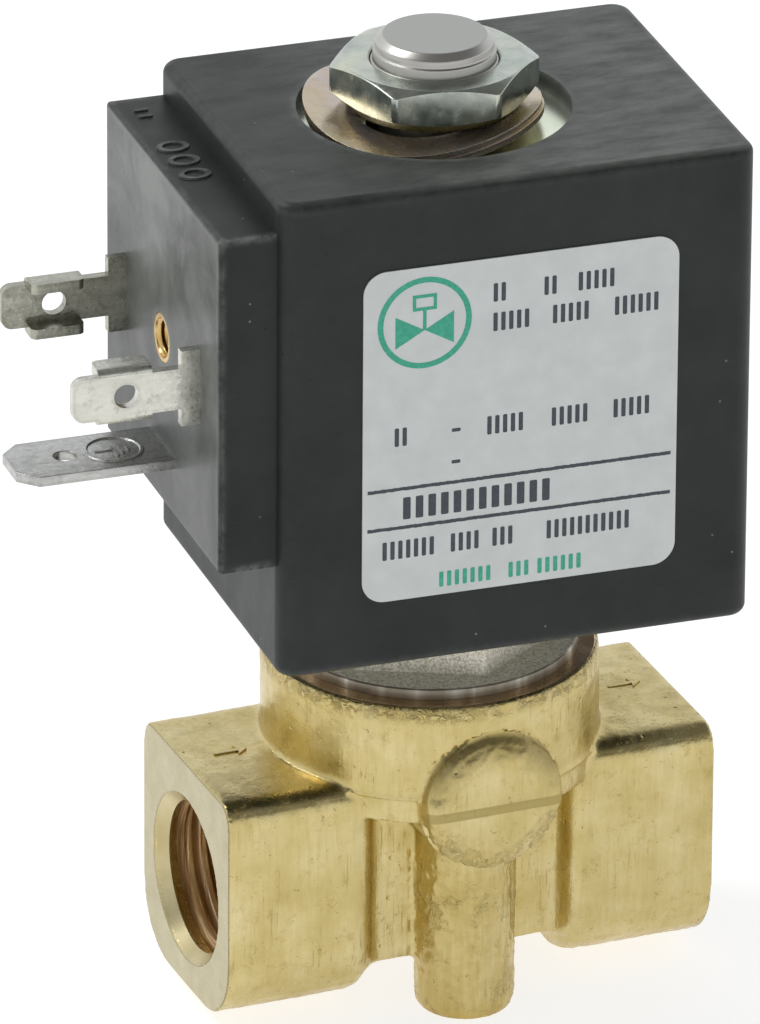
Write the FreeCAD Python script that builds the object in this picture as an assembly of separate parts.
"""Direct-acting two-way solenoid valve with a brass body and an encapsulated coil.

Millimetres. The plunger slides on the Z axis, the two ports lie along X, the terminals
point to -X and the rating label faces -Y. Z = 0 is the plane under the two mounting feet.
"""
import os
import FreeCAD
import Part
from math import atan2, cos, pi, radians, sin, sqrt

V = FreeCAD.Vector
UP = V(0, 0, 1)
OUT = "parts"
THROUGH = 60.0                 # length of tools that cut right through

# ---- forged body ----
PORT_Z = 10.5                  # height of the port axis over the feet
BODY_HALF_X = 20.0             # port face to port face is 40
BLOCK_HALF_Y = 9.0
BLOCK_INNER_X = 7.9            # where each port block ends towards the middle
BLOCK_BOTTOM = 1.25
BLOCK_TOP = 20.35
BLOCK_LOWER_R = 5.5
BLOCK_UPPER_R = 1.8
BLOCK_END_R = 1.6
BLOCK_FACE_EDGE = 0.2
WEB_HALF_Y = 7.0
WEB_BOTTOM = 4.2
WEB_BLEND_R = 1.2              # hollow radius between the web and each port block
COLLAR_R = 12.95
COLLAR_TOP = 27.6
COLLAR_EDGE = 0.3
SKIRT_BOTTOM = 17.8            # the collar's lower edge between the blocks
BOSS_R = 5.65
BOSS_Z = 19.3
BOSS_FACE_Y = 13.9
BOSS_EDGE_R = 1.0
FLASH_Z = 18.65                # trimmed flash land across each boss
FLASH_HEIGHT = 0.85
FLASH_DEPTH = 0.15
FOOT_R = 3.93
FOOT_Y = 7.5
FOOT_EDGE_R = 0.7
FOOT_HOLE_R = 1.65             # tapping size for M4
FOOT_HOLE_DEPTH = 7.0

# ---- ports and seat ----
THREAD_R = 6.58                # G 1/4 major radius
THREAD_DEPTH = 12.0
MOUTH_R = 6.8
DRILL_TIP = 1.5
PASSAGE_R = 3.2
INLET_PASSAGE = 2.4
SEAT_BORE_R = 2.25             # 4.5 orifice
SEAT_LIP_R = 3.2
SEAT_Z = 20.2
CHAMBER_FLOOR = 18.6
CHAMBER_R = 8.2
INLET_DRILL_R = 1.6
INLET_DRILL_X = -5.9
SEAL_LEDGE_Z = 21.0
NECK_BORE_R = 10.0             # M20 x 1.5 major radius

# ---- neck, guide tube and core ----
RING_R = 11.4
RING_TOP = 28.5
RING_EDGE = 0.12
HEX_FLATS = 17.0
HEX_ANGLE = -86.7              # direction of one corner
HEX_TOP = 34.6
HEX_BEVEL = 3.7                # 45 degree bevel at the hexagon's top
HEX_BEVEL_INSET = 0.2
SHANK_R = 9.97
SHANK_BOTTOM = 22.6
THROAT_R = 5.74                # room round the plunger inside the shank
THROAT_TOP = 25.6
THROAT_MOUTH_R = 7.54
THROAT_LEAD = 2.0
O_RING_SECTION_R = 0.8
O_RING_CENTRE_R = 8.9
TUBE_R = 5.0
TUBE_WALL = 0.4
TUBE_BOTTOM = 23.4             # the neck nut's bore starts here
TUBE_FOOT = 25.0
TUBE_TOP = 66.0
CORE_BOTTOM = 50.1
STUB_R = 4.85
RELIEF_R = 4.1                 # undercut below the thread, where the washers lie
RELIEF_TOP = 71.9
THREAD_TOP = 75.5
STUB_BAND_R = 4.66             # plain band above the thread
STUB_BAND_TOP = 76.4
STUB_NECK_R = 4.48
STUB_TIP_Z = 77.0
STUB_TIP_R = 3.93
STUB_TOP = 77.5
SHADING_R = (2.7, 3.5)
SHADING_HEIGHT = 0.8

# ---- plunger ----
STROKE = 1.6
PLUNGER_R = 4.54
PLUNGER_BOTTOM = 20.45
PLUNGER_EDGE = 0.3
SEAL_R = 3.7
SEAL_HEIGHT = 2.0
SPRING_POCKET_R = 2.35
SPRING_POCKET_DEPTH = 10.0
SPRING_R = 1.85
SPRING_WIRE_R = 0.22
SPRING_TURNS = 7
FLUTE_R = 0.7
FLUTE_COUNT = 3
FLUTE_START = 4.0              # solid length below the flutes

# ---- coil ----
COIL_TURN = -3.4               # the coil sits slightly turned on its tube
COIL_X = (-16.97, 20.51)
COIL_HALF_Y = 15.0
COIL_Z = (33.0, 71.7)
COIL_CORNER_R = 1.6
COIL_EDGE_R = 0.8
RECESS_R = 10.4
PLATE_Z = (34.65, 70.2)        # outer faces of the two yoke plates
PLATE_THICK = 2.5
PLATE_HALF_Y = 12.0
PLATE_X = (-13.5, 19.0)
SIDE_THICK = 2.5
YOKE_BEND_R = 2.0
BORE_R = 5.15
SLEEVE_R = 6.2
UPPER_SLEEVE = 12.0
LOWER_SLEEVE = 11.0
BOBBIN_R = (6.28, 7.0)
FLANGE_R = 12.1
FLANGE_THICK = 1.2
WINDING_R = (7.05, 11.5)
GAP = 0.05

# ---- connector block and terminals ----
HEAD_X = -21.47
HEAD_HALF_Y = 13.8
HEAD_Z = (42.0, 69.1)
HEAD_EDGE_R = 0.35
PIN_Z = 55.5
PIN_SPACING = 18.0
BLADE_THICK = 0.8
PIN_ROOT = 3.0                 # length of each pin held inside the moulding
PIN_TIP_X = -31.4
PIN_HALF = 1.75
PIN_TIP_R = 0.9
PIN_BASE_HALF = 3.05
PIN_BASE_X = -22.95
PIN_NECK_HALF = 1.65
PIN_WING_X = (-29.4, -25.2)
PIN_WING_HALF = 2.25
PIN_WING_DEPTH = 1.75
PIN_WING_R = 0.5
PIN_BEND_R = 0.6
PIN_HOLE_X = -27.25
PIN_HOLE_R = 0.95
EARTH_Z = 46.4
EARTH_HALF_Y = 3.15
EARTH_TIP_X = -33.5
EARTH_CHAMFER = 1.4
EARTH_HOLE_X = -29.1
EARTH_HOLE_R = 0.9
EARTH_RING_X = -25.3
EARTH_RING_R = 2.3
EARTH_RING_WIDTH = 0.3
EARTH_RING_HEIGHT = 0.12
INSERT_R = 1.95
INSERT_BORE_R = 1.3            # tapping size for M3
INSERT_LENGTH = 8.0
INSERT_FLARE = 0.3

# ---- lead wires ----
LEAD_R = 0.22
LEAD_START = (9.45, 7.1)       # distances from the axis towards the terminals and sideways
LEAD_BEND = (14.5, 8.6)
LEAD_DROP = 2.0                # start below the winding's top
LEAD_FALL = 3.0
LEAD_END_Z = 57.4
LEAD_LAP = 0.3                 # overlap with the pin's root

# ---- label, washers and nut ----
LABEL_X = (-10.6, 14.25)
LABEL_Z = (38.5, 65.5)
LABEL_CORNER_R = 1.8
LABEL_THICK = 0.12
WASHER_R = (9.0, 5.25)
WASHER_THICK = 0.5             # each of the two nested rings
WASHER_SHIFT = V(-0.83, 0.34, 0)   # they lie off centre, as the undercut allows
WASHER_SLIP = V(0.15, -0.1, 0)     # the lower ring lies this much off the upper one
WASHER_BEND_R = 31.0
WASHER_BEND_ANGLE = -43.0      # direction of the lifted ends
NUT_Z = (72.8, 75.7)
NUT_FLATS = 13.9
NUT_CORNER_R = 0.6
NUT_BEVEL = 0.52               # height of each bevel at the corners
NUT_BEVEL_R = 6.85             # where each bevel starts on the face
NUT_BEARING_R = 6.5            # round face that presses on the washers
NUT_BEARING_Z = 72.15
NUT_ANGLE = 45.6
NUT_BORE_R = 4.9
NUT_FLARE = 0.15


def save(node, shape):
    """Write one node's solid."""
    shape.exportStep(os.path.join(OUT, node + ".step"))


def box(x, y, z):
    """Box from three (low, high) pairs."""
    return Part.makeBox(x[1] - x[0], y[1] - y[0], z[1] - z[0], V(x[0], y[0], z[0]))


def tube(r_out, r_in, z0, z1):
    """Upright ring on the Z axis."""
    outer = Part.makeCylinder(r_out, z1 - z0, V(0, 0, z0))
    inner = Part.makeCylinder(r_in, z1 - z0 + 2, V(0, 0, z0 - 1))
    return outer.cut(inner)


def polygon_prism(flats, z0, z1, angle):
    """Hexagonal prism with its first corner at the given angle."""
    r = flats / 2 / cos(pi / 6)
    corners = [V(r * cos(radians(angle + 60 * k)), r * sin(radians(angle + 60 * k)), z0) for k in range(7)]
    return Part.Face(Part.makePolygon(corners)).extrude(V(0, 0, z1 - z0))


def rounded_rectangle(x, z, r, y, depth):
    """Plate in the XZ plane with rounded corners, extruded along Y."""
    plate = Part.makeBox(x[1] - x[0], depth, z[1] - z[0], V(x[0], y, z[0]))
    edges = [e for e in plate.Edges if abs(e.tangentAt(e.FirstParameter).y) > 0.9]
    return plate.makeFillet(r, edges)


def edges_where(shape, test):
    """Edges whose every end point and centre pass a test."""
    def passes(e):
        points = [v.Point for v in e.Vertexes] + [e.CenterOfMass]
        return all(test(p) for p in points)
    return [e for e in shape.Edges if passes(e)]


def turned(shape, angle):
    """Copy turned about the Z axis."""
    copy = shape.copy()
    copy.rotate(V(0, 0, 0), UP, angle)
    return copy


def port_block(side):
    """One rounded port block, its inner end blended all round."""
    x0, x1 = sorted((side * BLOCK_INNER_X, side * BODY_HALF_X))
    block = box((x0, x1), (-BLOCK_HALF_Y, BLOCK_HALF_Y), (BLOCK_BOTTOM, BLOCK_TOP))
    along_x = [e for e in block.Edges if abs(e.tangentAt(e.FirstParameter).x) > 0.9]
    lower = [e for e in along_x if e.CenterOfMass.z < PORT_Z]
    block = block.makeFillet(BLOCK_LOWER_R, lower)
    along_x = [e for e in block.Edges if abs(e.tangentAt(e.FirstParameter).x) > 0.9]
    upper = [e for e in along_x if e.CenterOfMass.z > BLOCK_TOP - 0.1]
    block = block.makeFillet(BLOCK_UPPER_R, upper)
    inner = edges_where(block, lambda p: abs(p.x - side * BLOCK_INNER_X) < 0.01 and p.z < BLOCK_TOP - 0.5)
    block = block.makeFillet(BLOCK_END_R, inner)
    outer = edges_where(block, lambda p: abs(p.x - side * BODY_HALF_X) < 0.01)
    return block.makeChamfer(BLOCK_FACE_EDGE, outer)


def web_blend(x_side, y_side):
    """Hollow fillet from the web's face to one port block's rounded end."""
    gap = BLOCK_HALF_Y - BLOCK_END_R - WEB_HALF_Y - WEB_BLEND_R
    reach = BLOCK_END_R + WEB_BLEND_R
    run = sqrt(reach ** 2 - gap ** 2)
    hollow = V(BLOCK_INNER_X + BLOCK_END_R - run, WEB_HALF_Y + WEB_BLEND_R, WEB_BOTTOM)
    meeting = hollow + V(run, gap, 0) * (WEB_BLEND_R / reach)
    angle = atan2(meeting.y - hollow.y, meeting.x - hollow.x)
    start = hollow - V(0, WEB_BLEND_R, 0)
    half_way = (angle - pi / 2) / 2
    middle = hollow + V(cos(half_way), sin(half_way), 0) * WEB_BLEND_R
    root = V(meeting.x + WEB_BLEND_R / 2, WEB_HALF_Y - 1, WEB_BOTTOM)
    arc = Part.Arc(start, middle, meeting).toShape()
    outline = [arc, Part.makeLine(meeting, root), Part.makeLine(root, start)]
    blend = Part.Face(Part.Wire(outline)).extrude(V(0, 0, SKIRT_BOTTOM + 1 - WEB_BOTTOM))
    if x_side < 0:
        blend = blend.mirror(V(0, 0, 0), V(1, 0, 0))
    if y_side < 0:
        blend = blend.mirror(V(0, 0, 0), V(0, 1, 0))
    return blend


def boss_and_foot(side):
    """Side boss with a round rim and a trimmed flash land, and the foot under it."""
    root_y = FOOT_Y - 2
    boss = Part.makeCylinder(BOSS_R, BOSS_FACE_Y - root_y, V(0, side * root_y, BOSS_Z), V(0, side, 0))
    rim = edges_where(boss, lambda p: side * p.y > BOSS_FACE_Y - 0.01)
    boss = boss.makeFillet(BOSS_EDGE_R, rim)
    groove = Part.makeBox(4 * BOSS_R, 2, FLASH_HEIGHT, V(-2 * BOSS_R, 0, FLASH_Z))
    groove.translate(V(0, BOSS_FACE_Y - FLASH_DEPTH if side > 0 else FLASH_DEPTH - BOSS_FACE_Y - 2, 0))
    boss = boss.cut(groove)
    foot = Part.makeCylinder(FOOT_R, BOSS_Z - 2, V(0, side * FOOT_Y, 0))
    sole = edges_where(foot, lambda p: abs(p.z) < 0.01)
    foot = foot.makeFillet(FOOT_EDGE_R, sole)
    return boss.fuse(foot)


def body_cuts():
    """Ports, passages, seat chamber and neck bore as one tool."""
    tools = []
    for side in (-1, 1):
        inward = V(-side, 0, 0)
        face = V(side * BODY_HALF_X, 0, PORT_Z)
        tools.append(Part.makeCylinder(THREAD_R, THREAD_DEPTH, face, inward))
        depth = MOUTH_R - THREAD_R
        tools.append(Part.makeCone(MOUTH_R, THREAD_R, depth, face, inward))
        drill_tip = V(side * (BODY_HALF_X - THREAD_DEPTH), 0, PORT_Z)
        tools.append(Part.makeCone(THREAD_R, PASSAGE_R, DRILL_TIP, drill_tip, inward))
    outlet = BODY_HALF_X - THREAD_DEPTH + SEAT_BORE_R
    tools.append(Part.makeCylinder(PASSAGE_R, outlet, V(-SEAT_BORE_R, 0, PORT_Z), V(1, 0, 0)))
    tools.append(Part.makeCylinder(SEAT_BORE_R, SEAT_Z - PORT_Z + 1, V(0, 0, PORT_Z)))
    inlet_start = V(-BODY_HALF_X + THREAD_DEPTH, 0, PORT_Z)
    tools.append(Part.makeCylinder(PASSAGE_R, INLET_PASSAGE, inlet_start, V(1, 0, 0)))
    tools.append(Part.makeCylinder(INLET_DRILL_R, CHAMBER_FLOOR - PORT_Z + 1, V(INLET_DRILL_X, 0, PORT_Z)))
    chamber = Part.makeCylinder(CHAMBER_R, COLLAR_TOP, V(0, 0, CHAMBER_FLOOR))
    chamber = chamber.cut(Part.makeCylinder(SEAT_LIP_R, SEAT_Z - CHAMBER_FLOOR, V(0, 0, CHAMBER_FLOOR)))
    tools.append(chamber)
    tools.append(Part.makeCylinder(NECK_BORE_R, COLLAR_TOP, V(0, 0, SEAL_LEDGE_Z)))
    for side in (-1, 1):
        tools.append(Part.makeCylinder(FOOT_HOLE_R, FOOT_HOLE_DEPTH, V(0, side * FOOT_Y, 0)))
    return tools


def valve_body():
    """Brass forging with two ports, the seat, a collar, two bosses and two feet."""
    collar = Part.makeCylinder(COLLAR_R, COLLAR_TOP - SKIRT_BOTTOM, V(0, 0, SKIRT_BOTTOM))
    collar = collar.makeChamfer(COLLAR_EDGE, edges_where(collar, lambda p: p.z > COLLAR_TOP - 0.1))
    reach = BLOCK_INNER_X + 2
    web = box((-reach, reach), (-WEB_HALF_Y, WEB_HALF_Y), (WEB_BOTTOM, SKIRT_BOTTOM + 1))
    blends = [web_blend(x_side, y_side) for x_side in (-1, 1) for y_side in (-1, 1)]
    body = collar.fuse([web, port_block(-1), port_block(1), boss_and_foot(-1), boss_and_foot(1)] + blends)
    return body.cut(body_cuts()).removeSplitter()


def body_o_ring():
    return Part.makeTorus(O_RING_CENTRE_R, O_RING_SECTION_R, V(0, 0, SEAL_LEDGE_Z + O_RING_SECTION_R))


def neck_nut():
    """Flanged hexagon that screws the guide tube into the body."""
    shank = Part.makeCylinder(SHANK_R, COLLAR_TOP - SHANK_BOTTOM, V(0, 0, SHANK_BOTTOM))
    ring = Part.makeCylinder(RING_R, RING_TOP - COLLAR_TOP, V(0, 0, COLLAR_TOP))
    ring = ring.makeChamfer(RING_EDGE, edges_where(ring, lambda p: p.z > RING_TOP - 0.01))
    prism = polygon_prism(HEX_FLATS, RING_TOP, HEX_TOP, HEX_ANGLE)
    top_r = HEX_FLATS / 2 - HEX_BEVEL_INSET
    bevel_z = HEX_TOP - HEX_BEVEL
    bevel = Part.makeCone(top_r + HEX_BEVEL, top_r, HEX_BEVEL, V(0, 0, bevel_z))
    low = Part.makeCylinder(top_r + HEX_BEVEL, bevel_z - RING_TOP, V(0, 0, RING_TOP))
    prism = prism.common(low.fuse(bevel))
    nut = ring.fuse([shank, prism])
    bore = Part.makeCylinder(TUBE_R, HEX_TOP, V(0, 0, TUBE_BOTTOM))
    throat = Part.makeCylinder(THROAT_R, THROAT_TOP - SHANK_BOTTOM, V(0, 0, SHANK_BOTTOM))
    lead = Part.makeCone(THROAT_MOUTH_R, THROAT_R, THROAT_LEAD, V(0, 0, SHANK_BOTTOM))
    return nut.cut([bore, throat, lead]).removeSplitter()


def guide_tube():
    """Thin non-magnetic tube with the plunger's bore."""
    return tube(TUBE_R, TUBE_R - TUBE_WALL, TUBE_FOOT, TUBE_TOP)


def fixed_core():
    """Pole piece that closes the tube and carries the threaded stub."""
    r = TUBE_R - TUBE_WALL
    pole = Part.makeCylinder(r, TUBE_TOP - CORE_BOTTOM, V(0, 0, CORE_BOTTOM))
    relief = Part.makeCylinder(RELIEF_R, RELIEF_TOP - TUBE_TOP, V(0, 0, TUBE_TOP))
    thread = Part.makeCylinder(STUB_R, THREAD_TOP - RELIEF_TOP, V(0, 0, RELIEF_TOP))
    band = Part.makeCylinder(STUB_BAND_R, STUB_BAND_TOP - THREAD_TOP, V(0, 0, THREAD_TOP))
    neck = Part.makeCylinder(STUB_NECK_R, STUB_TIP_Z - STUB_BAND_TOP, V(0, 0, STUB_BAND_TOP))
    tip = Part.makeCone(STUB_NECK_R, STUB_TIP_R, STUB_TOP - STUB_TIP_Z, V(0, 0, STUB_TIP_Z))
    stub = relief.fuse([thread, band, neck, tip])
    groove = tube(SHADING_R[1], SHADING_R[0], CORE_BOTTOM, CORE_BOTTOM + SHADING_HEIGHT)
    return pole.fuse(stub).cut(groove).removeSplitter()


def shading_ring():
    return tube(SHADING_R[1], SHADING_R[0], CORE_BOTTOM, CORE_BOTTOM + SHADING_HEIGHT)


def plunger():
    """Sliding armature with a seal pocket below, a spring pocket above and side flutes."""
    top = CORE_BOTTOM - STROKE
    rod = Part.makeCylinder(PLUNGER_R, top - PLUNGER_BOTTOM, V(0, 0, PLUNGER_BOTTOM))
    rims = edges_where(rod, lambda p: abs(p.z - top) < 0.01 or p.z < PLUNGER_BOTTOM + 0.01)
    rod = rod.makeChamfer(PLUNGER_EDGE, rims)
    tools = [Part.makeCylinder(SEAL_R, SEAL_HEIGHT, V(0, 0, SEAT_Z)),
             Part.makeCylinder(SPRING_POCKET_R, SPRING_POCKET_DEPTH, V(0, 0, top - SPRING_POCKET_DEPTH))]
    for k in range(FLUTE_COUNT):
        a = 2 * pi * k / FLUTE_COUNT
        start = V(PLUNGER_R * cos(a), PLUNGER_R * sin(a), PLUNGER_BOTTOM + FLUTE_START)
        tools.append(Part.makeCylinder(FLUTE_R, THROUGH, start))
    return rod.cut(tools)


def plunger_seal():
    return Part.makeCylinder(SEAL_R, SEAL_HEIGHT, V(0, 0, SEAT_Z))


def return_spring():
    """Round-wire coil spring between the plunger's pocket and the fixed core."""
    bottom = CORE_BOTTOM - STROKE - SPRING_POCKET_DEPTH
    length = CORE_BOTTOM - bottom - 2 * SPRING_WIRE_R
    pitch = length / SPRING_TURNS
    path = Part.Wire(Part.makeHelix(pitch, length, SPRING_R).Edges)
    along = V(0, 2 * pi * SPRING_R, pitch)
    start = V(SPRING_R, 0, 0)
    quarters = [Part.makeCircle(SPRING_WIRE_R, start, along, 90 * k, 90 * k + 90) for k in range(4)]
    spring = path.makePipeShell([Part.Wire(quarters)], True, True)
    spring.translate(V(0, 0, bottom + SPRING_WIRE_R))
    return spring


def yoke_frame():
    """C-shaped steel strip round the winding, open towards the terminals."""
    x0, x1 = PLATE_X
    y = (-PLATE_HALF_Y, PLATE_HALF_Y)
    lower = box((x0, x1), y, (PLATE_Z[0], PLATE_Z[0] + PLATE_THICK))
    upper = box((x0, x1), y, (PLATE_Z[1] - PLATE_THICK, PLATE_Z[1]))
    side = box((x1 - SIDE_THICK, x1), y, PLATE_Z)
    frame = lower.fuse([upper, side]).removeSplitter()
    corners = edges_where(frame, lambda p: abs(p.x - x1) < 0.01 and min(abs(p.z - z) for z in PLATE_Z) < 0.01)
    frame = frame.makeFillet(YOKE_BEND_R, corners)
    return frame.cut(Part.makeCylinder(SLEEVE_R, THROUGH, V(0, 0, COIL_Z[0])))


def pole_sleeve(z0, z1):
    return tube(SLEEVE_R, BORE_R, z0, z1)


def coil_bobbin():
    """Spool inside the yoke, with one flange at each end."""
    z0 = PLATE_Z[0] + PLATE_THICK + GAP
    z1 = PLATE_Z[1] - PLATE_THICK - GAP
    spool = Part.makeCylinder(BOBBIN_R[1], z1 - z0, V(0, 0, z0))
    flanges = [Part.makeCylinder(FLANGE_R, FLANGE_THICK, V(0, 0, z)) for z in (z0, z1 - FLANGE_THICK)]
    bore = Part.makeCylinder(BOBBIN_R[0], THROUGH, V(0, 0, COIL_Z[0]))
    return spool.fuse(flanges).cut(bore).removeSplitter()


def copper_winding():
    z0 = PLATE_Z[0] + PLATE_THICK + FLANGE_THICK + 2 * GAP
    z1 = PLATE_Z[1] - PLATE_THICK - FLANGE_THICK - 2 * GAP
    return tube(WINDING_R[1], WINDING_R[0], z0, z1)


def line_pin(side):
    """Stamped pin: wide base, narrow neck and a channel-shaped blade with a hole."""
    y = side * PIN_SPACING / 2
    root = (HEAD_X, HEAD_X + PIN_ROOT)
    pieces = [(root, PIN_NECK_HALF), ((PIN_BASE_X, HEAD_X), PIN_BASE_HALF),
              ((PIN_WING_X[1], PIN_BASE_X), PIN_NECK_HALF), ((PIN_TIP_X, PIN_WING_X[1]), PIN_HALF)]
    thick = (y - BLADE_THICK / 2, y + BLADE_THICK / 2)
    solids = [box(x, thick, (PIN_Z - half, PIN_Z + half)) for x, half in pieces]
    blade = solids.pop()
    tip = edges_where(blade, lambda p: abs(p.x - PIN_TIP_X) < 0.01)
    blade = blade.makeFillet(PIN_TIP_R, [e for e in tip if abs(e.tangentAt(e.FirstParameter).y) > 0.9])
    inner = y - side * PIN_WING_DEPTH
    wing_y = tuple(sorted((inner, y + side * BLADE_THICK / 2)))
    channel = box(PIN_WING_X, wing_y, (PIN_Z - PIN_WING_HALF, PIN_Z + PIN_WING_HALF))
    bends = edges_where(channel, lambda p: abs(p.y - (y + side * BLADE_THICK / 2)) < 0.01)
    channel = channel.makeFillet(PIN_BEND_R, [e for e in bends if abs(e.tangentAt(e.FirstParameter).x) > 0.9])
    half = PIN_WING_HALF - BLADE_THICK
    hollow_y = tuple(sorted((inner - side, y - side * BLADE_THICK / 2)))
    hollow = box((PIN_WING_X[0] - 1, PIN_WING_X[1] + 1), hollow_y, (PIN_Z - half, PIN_Z + half))
    channel = channel.cut(hollow)
    free = edges_where(channel, lambda p: abs(p.y - inner) < 0.01)
    channel = channel.makeFillet(PIN_WING_R, [e for e in free if abs(e.tangentAt(e.FirstParameter).z) > 0.9])
    hole = Part.makeCylinder(PIN_HOLE_R, THROUGH, V(PIN_HOLE_X, y - THROUGH / 2, PIN_Z), V(0, 1, 0))
    return blade.fuse(solids + [channel]).cut(hole).removeSplitter()


def earth_pin():
    """Flat earth blade with chamfered corners, a hole and a raised ring."""
    z0 = EARTH_Z - BLADE_THICK / 2
    x0, x1 = EARTH_TIP_X, HEAD_X + PIN_ROOT
    c, h = EARTH_CHAMFER, EARTH_HALF_Y
    outline = [(x0, -h + c), (x0 + c, -h), (x1, -h), (x1, h), (x0 + c, h), (x0, h - c)]
    corners = [V(x, y, z0) for x, y in outline + outline[:1]]
    blade = Part.Face(Part.makePolygon(corners)).extrude(V(0, 0, BLADE_THICK))
    centre = V(EARTH_RING_X, 0, z0 + BLADE_THICK)
    ring = Part.makeCylinder(EARTH_RING_R, EARTH_RING_HEIGHT, centre)
    ring = ring.cut(Part.makeCylinder(EARTH_RING_R - EARTH_RING_WIDTH, EARTH_RING_HEIGHT, centre))
    hole = Part.makeCylinder(EARTH_HOLE_R, BLADE_THICK, V(EARTH_HOLE_X, 0, z0))
    return blade.fuse(ring).cut(hole).removeSplitter()


def screw_insert():
    """Knurled brass insert for the plug's centre screw."""
    sleeve = Part.makeCylinder(INSERT_R, INSERT_LENGTH, V(HEAD_X, 0, PIN_Z), V(1, 0, 0))
    bore = Part.makeCylinder(INSERT_BORE_R, INSERT_LENGTH, V(HEAD_X, 0, PIN_Z), V(1, 0, 0))
    face = V(HEAD_X, 0, PIN_Z)
    flare = Part.makeCone(INSERT_BORE_R + INSERT_FLARE, INSERT_BORE_R, INSERT_FLARE, face, V(1, 0, 0))
    return sleeve.cut(bore.fuse(flare))


def lead_wire(side):
    """Winding end led from the bobbin's upper flange to a pin's root."""
    z = copper_winding().BoundBox.ZMax - LEAD_DROP
    pin = V(HEAD_X + PIN_ROOT - LEAD_LAP, side * PIN_SPACING / 2, 0)
    points = [V(-LEAD_START[0], side * LEAD_START[1], z), V(-LEAD_BEND[0], side * LEAD_BEND[1], z),
              pin + V(0, 0, z - LEAD_FALL), pin + V(0, 0, LEAD_END_Z)]
    path = Part.makePolygon(points)
    ring = Part.Wire(Part.makeCircle(LEAD_R, points[0], points[1] - points[0]))
    return path.makePipeShell([ring], True, True, 2)


def coil_housing(inner):
    """Moulded cover cast round the yoke, the winding and the pins' roots."""
    block = box(COIL_X, (-COIL_HALF_Y, COIL_HALF_Y), COIL_Z)
    uprights = [e for e in block.Edges if abs(e.tangentAt(e.FirstParameter).z) > 0.9]
    block = block.makeFillet(COIL_CORNER_R, uprights)
    rims = edges_where(block, lambda p: min(abs(p.z - z) for z in COIL_Z) < 0.01)
    block = block.makeFillet(COIL_EDGE_R, rims)
    head = box((HEAD_X, COIL_X[0] + 1), (-HEAD_HALF_Y, HEAD_HALF_Y), HEAD_Z)
    face = edges_where(head, lambda p: abs(p.x - HEAD_X) < 0.01)
    head = head.makeFillet(HEAD_EDGE_R, face)
    block = block.fuse(head).removeSplitter()
    x0, x1 = PLATE_X
    y = (-PLATE_HALF_Y - GAP, PLATE_HALF_Y + GAP)
    steel = (x0 - GAP, x1 + GAP)
    cavities = [box(steel, y, (PLATE_Z[0], PLATE_Z[0] + PLATE_THICK + GAP)),
                box(steel, y, (PLATE_Z[1] - PLATE_THICK - GAP, PLATE_Z[1])),
                box((x1 - SIDE_THICK - GAP, x1 + GAP), y, PLATE_Z),
                Part.makeCylinder(FLANGE_R + GAP, PLATE_Z[1] - PLATE_Z[0], V(0, 0, PLATE_Z[0])),
                Part.makeCylinder(RECESS_R, COIL_Z[1] - COIL_Z[0] + 2, V(0, 0, COIL_Z[0] - 1))]
    return block.cut(cavities + inner).removeSplitter()


def rating_label():
    return rounded_rectangle(LABEL_X, LABEL_Z, LABEL_CORNER_R, -COIL_HALF_Y - LABEL_THICK, LABEL_THICK)


def spring_washer(layer):
    """Ring bent to a shallow arc, its two ends lifted towards the nut; layer 0 lies on the yoke."""
    z = PLATE_Z[1]
    centre = V(0, -COIL_HALF_Y, z + WASHER_BEND_R)
    under_r = WASHER_BEND_R - layer * WASHER_THICK
    under = Part.makeCylinder(under_r, 2 * COIL_HALF_Y, centre, V(0, 1, 0))
    over = Part.makeCylinder(under_r - WASHER_THICK, 2 * COIL_HALF_Y, centre, V(0, 1, 0))
    arc = turned(under.cut(over), WASHER_BEND_ANGLE)
    ring = tube(*WASHER_R, z, NUT_Z[1])
    if layer == 0:
        ring.translate(WASHER_SLIP)
    washer = arc.common(ring)
    washer.translate(WASHER_SHIFT)
    return washer


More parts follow.
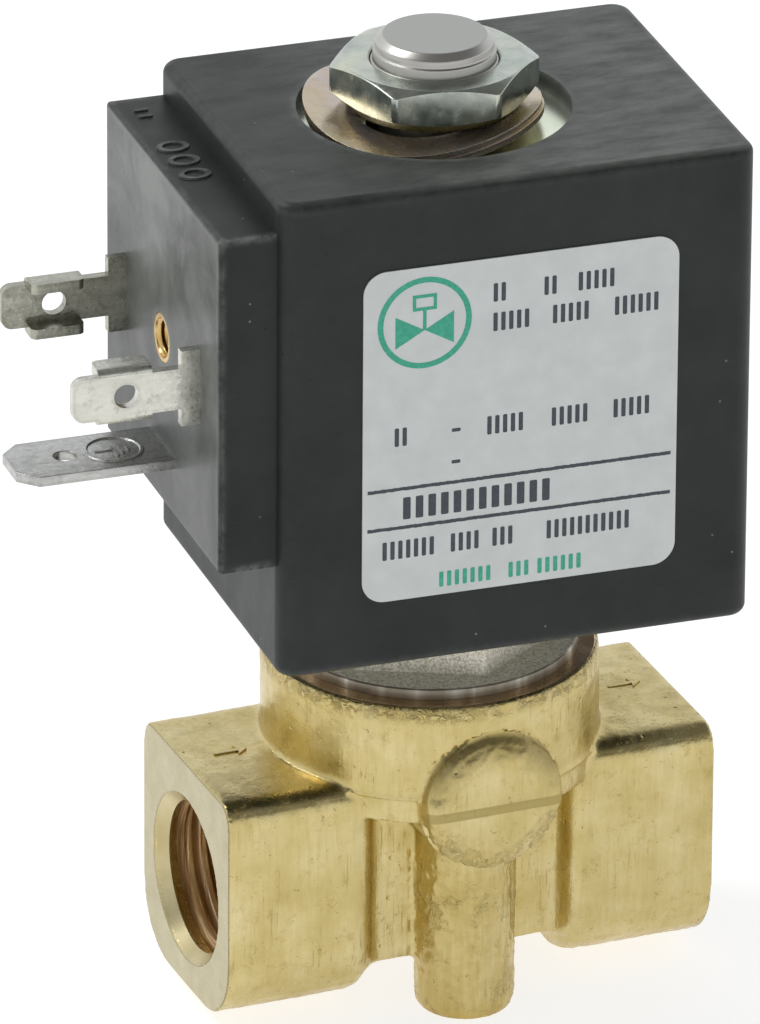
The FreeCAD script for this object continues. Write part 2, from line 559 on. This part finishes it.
def lock_nut():
    """Thin hexagon nut, bevelled on both faces, with a round bearing face below."""
    z0, z1 = NUT_Z
    prism = polygon_prism(NUT_FLATS, z0, z1, NUT_ANGLE)
    uprights = [e for e in prism.Edges if abs(e.tangentAt(e.FirstParameter).z) > 0.9]
    prism = prism.makeFillet(NUT_CORNER_R, uprights)
    corner_r = NUT_FLATS / 2 / cos(pi / 6)
    middle = Part.makeCylinder(corner_r, z1 - z0 - 2 * NUT_BEVEL, V(0, 0, z0 + NUT_BEVEL))
    lower = Part.makeCone(NUT_BEVEL_R, corner_r, NUT_BEVEL, V(0, 0, z0))
    upper = Part.makeCone(corner_r, NUT_BEVEL_R, NUT_BEVEL, V(0, 0, z1 - NUT_BEVEL))
    prism = prism.common(middle.fuse([lower, upper]))
    bearing = Part.makeCone(NUT_BEARING_R, NUT_BEVEL_R, z0 - NUT_BEARING_Z, V(0, 0, NUT_BEARING_Z))
    bore = Part.makeCylinder(NUT_BORE_R, z1 - NUT_BEARING_Z, V(0, 0, NUT_BEARING_Z))
    flare = Part.makeCone(NUT_BORE_R, NUT_BORE_R + NUT_FLARE, NUT_FLARE, V(0, 0, z1 - NUT_FLARE))
    return prism.fuse(bearing).cut(bore.fuse(flare)).removeSplitter()


def main():
    os.makedirs(OUT, exist_ok=True)
    fixed = {
        "valve_body": valve_body(),
        "body_o_ring": body_o_ring(),
        "neck_nut": neck_nut(),
        "guide_tube": guide_tube(),
        "fixed_core": fixed_core(),
        "shading_ring": shading_ring(),
        "plunger": plunger(),
        "plunger_seal": plunger_seal(),
        "return_spring": return_spring(),
        "spring_washer_lower": spring_washer(0),
        "spring_washer_upper": spring_washer(1),
        "lock_nut": lock_nut(),
    }
    pins = {
        "line_pin_front": line_pin(-1),
        "line_pin_rear": line_pin(1),
        "earth_pin": earth_pin(),
        "plug_screw_insert": screw_insert(),
        "lead_wire_front": lead_wire(-1),
        "lead_wire_rear": lead_wire(1),
    }
    insert_hole = Part.makeCylinder(INSERT_R, INSERT_LENGTH, V(HEAD_X, 0, PIN_Z), V(1, 0, 0))
    hollows = [pins[name] for name in pins if name != "plug_screw_insert"] + [insert_hole]
    coil = {
        "coil_housing": coil_housing(hollows),
        "yoke_frame": yoke_frame(),
        "upper_pole_sleeve": pole_sleeve(PLATE_Z[1] - UPPER_SLEEVE, PLATE_Z[1]),
        "lower_pole_sleeve": pole_sleeve(PLATE_Z[0], PLATE_Z[0] + LOWER_SLEEVE),
        "coil_bobbin": coil_bobbin(),
        "copper_winding": copper_winding(),
        "rating_label": rating_label(),
    }
    for node, shape in fixed.items():
        save(node, shape)
    for node, shape in list(pins.items()) + list(coil.items()):
        save(node, turned(shape, COIL_TURN))


main()
